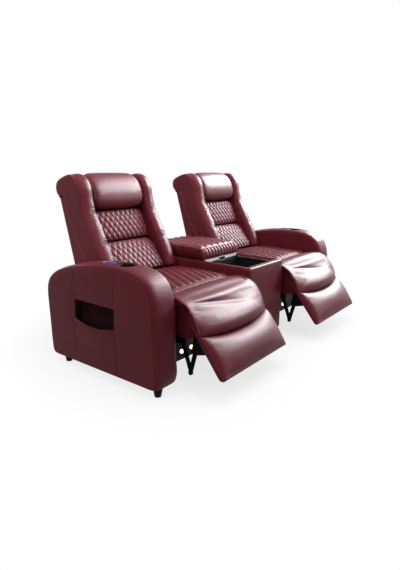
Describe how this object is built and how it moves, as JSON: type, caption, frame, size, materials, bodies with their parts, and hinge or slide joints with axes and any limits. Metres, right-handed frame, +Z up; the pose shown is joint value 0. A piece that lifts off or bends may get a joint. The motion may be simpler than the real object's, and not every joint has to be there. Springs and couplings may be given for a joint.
{
  "type": "two-seat power recliner with console",
  "caption": "Burgundy leather cinema recliner: reclining quilted backs, tilting headrests, powered legrests on open linkages, cup holders in the arms and a console with a sliding padded lid.",
  "frame": {"origin": "on the floor under the middle of the whole recliner as it stands in the picture", "axes": "+X along the width towards the right-hand seat as seen from the front, +Y from the legrests towards the backs, +Z up"},
  "size_m": [2.08, 1.2582, 1.0748],
  "materials": {
    "leather": "satin",
    "black_metal": "satin",
    "timber": "matte",
    "zinc_metal": "satin",
    "bright_strip": "polished",
    "black_plastic": "matte",
    "gloss_black": "gloss",
    "lamp_lens": "gloss",
    "drive_housing": "matte"
  },
  "bodies": {
    "body": {"left_base_frame": "black_metal", "left_seat_box": "timber", "left_seat_cushion": "leather", "left_leg_motor": "drive_housing", "left_back_motor": "drive_housing", "left_arm": "leather", "right_base_frame": "black_metal", "right_seat_box": "timber", "right_seat_cushion": "leather", "right_leg_motor": "drive_housing", "right_back_motor": "drive_housing", "right_arm": "leather", "magazine_pockets": "leather", "cup_holders": "black_plastic", "switch_panels": "gloss_black", "lights": "lamp_lens", "feet": "black_plastic", "console": "leather", "console_liner": "black_plastic", "lid_rails": "zinc_metal"},
    "left_legrest": {"left_legrest_board": "timber", "left_legrest_brackets": "black_metal", "left_calf_pad": "leather", "left_foot_pad": "leather"},
    "left_legrest_crank": {"left_crank": "black_metal"},
    "left_legrest_links": {"left_couplers": "black_metal"},
    "left_leg_drive": {"left_leg_rod": "zinc_metal"},
    "left_back": {"left_back_frame": "timber", "left_back_shell": "leather", "left_bolsters": "leather", "left_upper_lumbar": "leather", "left_lower_lumbar": "leather"},
    "left_back_drive": {"left_back_rod": "zinc_metal"},
    "left_headrest": {"left_headrest_pad": "leather", "left_headrest_hinge": "black_metal"},
    "right_legrest": {"right_legrest_board": "timber", "right_legrest_brackets": "black_metal", "right_calf_pad": "leather", "right_foot_pad": "leather"},
    "right_legrest_crank": {"right_crank": "black_metal"},
    "right_legrest_links": {"right_couplers": "black_metal"},
    "right_leg_drive": {"right_leg_rod": "zinc_metal"},
    "right_back": {"right_back_frame": "timber", "right_back_shell": "leather", "right_bolsters": "leather", "right_upper_lumbar": "leather", "right_lower_lumbar": "leather"},
    "right_back_drive": {"right_back_rod": "zinc_metal"},
    "right_headrest": {"right_headrest_pad": "leather", "right_headrest_hinge": "black_metal"},
    "lid": {"lid_pad": "leather", "lid_board": "timber", "lid_trim": "bright_strip"},
    "latch": {"lid_latch": "black_plastic"},
    "left_recline_switch_key": {"left_recline_switch": "gloss_black"},
    "left_headrest_switch_key": {"left_headrest_switch": "gloss_black"},
    "right_recline_switch_key": {"right_recline_switch": "gloss_black"},
    "right_headrest_switch_key": {"right_headrest_switch": "gloss_black"}
  },
  "joints": [
    {"name": "left_legrest_lift", "type": "hinge", "parent": "body", "child": "left_legrest", "pos_m": [-0.548, -0.382, 0.431], "axis": [-1, 0, 0], "range_deg": [-36, 50]},
    {"name": "left_crank_turn", "type": "hinge", "parent": "body", "child": "left_legrest_crank", "pos_m": [-0.548, -0.3379, 0.26287], "axis": [-1, 0, 0], "range_deg": [-36, 50]},
    {"name": "left_link_turn", "type": "hinge", "parent": "left_legrest_crank", "child": "left_legrest_links", "pos_m": [-0.548, -0.397, 0.106], "axis": [-1, 0, 0], "range_deg": [-50, 36]},
    {"name": "left_leg_drive_slide", "type": "slide", "parent": "body", "child": "left_leg_drive", "axis": [0, -1, 0], "range_m": [-0.04498, 0.06228]},
    {"name": "left_back_recline", "type": "hinge", "parent": "body", "child": "left_back", "pos_m": [-0.548, 0.26, 0.42], "axis": [-1, 0, 0], "range_deg": [-8, 35]},
    {"name": "left_back_drive_slide", "type": "slide", "parent": "body", "child": "left_back_drive", "axis": [0, -1, 0], "range_m": [-0.00916, 0.03837]},
    {"name": "left_headrest_tilt", "type": "hinge", "parent": "left_back", "child": "left_headrest", "pos_m": [-0.548, 0.43735, 0.90431], "axis": [1, 0, 0], "range_deg": [0, 35]},
    {"name": "right_legrest_lift", "type": "hinge", "parent": "body", "child": "right_legrest", "pos_m": [0.548, -0.382, 0.431], "axis": [-1, 0, 0], "range_deg": [-36, 50]},
    {"name": "right_crank_turn", "type": "hinge", "parent": "body", "child": "right_legrest_crank", "pos_m": [0.548, -0.3379, 0.26287], "axis": [-1, 0, 0], "range_deg": [-36, 50]},
    {"name": "right_link_turn", "type": "hinge", "parent": "right_legrest_crank", "child": "right_legrest_links", "pos_m": [0.548, -0.397, 0.106], "axis": [-1, 0, 0], "range_deg": [-50, 36]},
    {"name": "right_leg_drive_slide", "type": "slide", "parent": "body", "child": "right_leg_drive", "axis": [0, -1, 0], "range_m": [-0.04498, 0.06228]},
    {"name": "right_back_recline", "type": "hinge", "parent": "body", "child": "right_back", "pos_m": [0.548, 0.26, 0.42], "axis": [-1, 0, 0], "range_deg": [-8, 35]},
    {"name": "right_back_drive_slide", "type": "slide", "parent": "body", "child": "right_back_drive", "axis": [0, -1, 0], "range_m": [-0.00916, 0.03837]},
    {"name": "right_headrest_tilt", "type": "hinge", "parent": "right_back", "child": "right_headrest", "pos_m": [0.548, 0.43735, 0.90431], "axis": [1, 0, 0], "range_deg": [0, 35]},
    {"name": "lid_slide", "type": "slide", "parent": "body", "child": "lid", "axis": [0, -1, 0], "range_m": [0, 0.29]},
    {"name": "latch_press", "type": "slide", "parent": "lid", "child": "latch", "axis": [0, 1, 0], "range_m": [0, 0.0038], "stiffness_N_per_m": 600},
    {"name": "left_recline_switch_rock", "type": "hinge", "parent": "body", "child": "left_recline_switch_key", "pos_m": [-0.962, 0.069, 0.619], "axis": [1, 0, 0], "range_deg": [-7, 7], "stiffness_Nm_per_rad": 0.4},
    {"name": "left_headrest_switch_rock", "type": "hinge", "parent": "body", "child": "left_headrest_switch_key", "pos_m": [-0.962, 0.031, 0.619], "axis": [1, 0, 0], "range_deg": [-7, 7], "stiffness_Nm_per_rad": 0.4},
    {"name": "right_recline_switch_rock", "type": "hinge", "parent": "body", "child": "right_recline_switch_key", "pos_m": [0.962, 0.069, 0.619], "axis": [1, 0, 0], "range_deg": [-7, 7], "stiffness_Nm_per_rad": 0.4},
    {"name": "right_headrest_switch_rock", "type": "hinge", "parent": "body", "child": "right_headrest_switch_key", "pos_m": [0.962, 0.031, 0.619], "axis": [1, 0, 0], "range_deg": [-7, 7], "stiffness_Nm_per_rad": 0.4}
  ],
  "couplings": [
    {"joint": "left_crank_turn", "follows": "left_legrest_lift", "ratio": 1},
    {"joint": "left_link_turn", "follows": "left_legrest_lift", "ratio": -1},
    {"joint": "left_leg_drive_slide", "follows": "left_legrest_lift", "m_per_rad": 0.0708},
    {"joint": "left_back_drive_slide", "follows": "left_back_recline", "m_per_rad": 0.062},
    {"joint": "right_crank_turn", "follows": "right_legrest_lift", "ratio": 1},
    {"joint": "right_link_turn", "follows": "right_legrest_lift", "ratio": -1},
    {"joint": "right_leg_drive_slide", "follows": "right_legrest_lift", "m_per_rad": 0.0708},
    {"joint": "right_back_drive_slide", "follows": "right_back_recline", "m_per_rad": 0.062}
  ]
}
